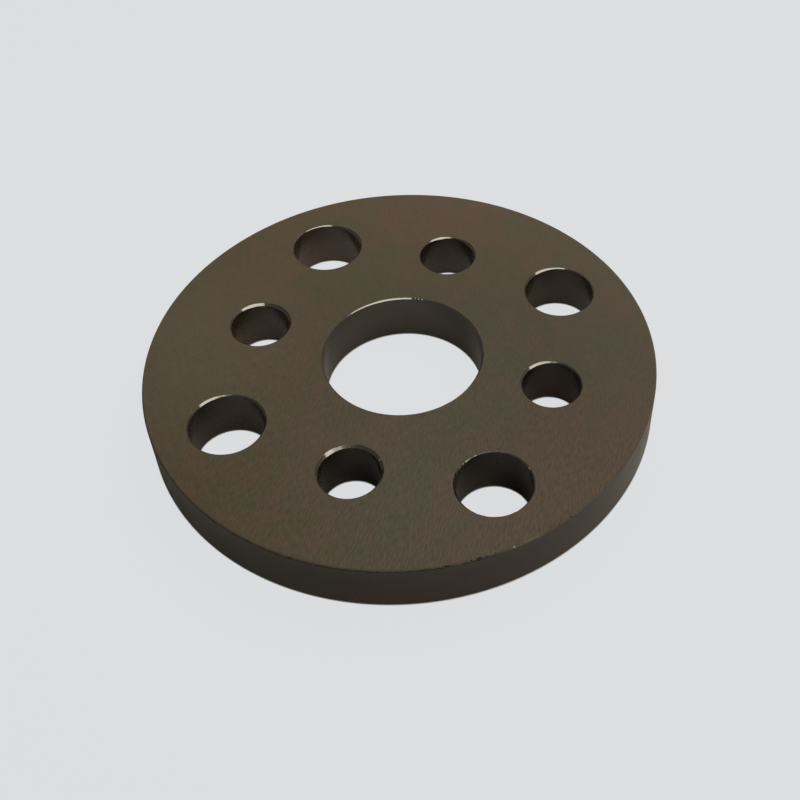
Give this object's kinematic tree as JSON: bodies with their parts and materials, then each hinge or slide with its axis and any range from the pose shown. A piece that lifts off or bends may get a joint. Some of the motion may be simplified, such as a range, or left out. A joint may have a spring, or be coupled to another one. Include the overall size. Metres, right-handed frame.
{
  "type": "clamping plate",
  "caption": "Round flat steel clamping plate with a plain central bore and staggered outer and inner circles of plain through holes for screws.",
  "frame": {"origin": "centre of the bore on the bottom face", "axes": "+Z along the bore, out of the top face; +X through one of the larger holes"},
  "size_m": [0.096, 0.096, 0.01],
  "materials": {
    "ground_steel": "ground on both faces with straight fine lines, dark brown-grey and lightly oiled"
  },
  "bodies": {
    "root": {"clamping_plate": "ground_steel"}
  },
  "joints": []
}
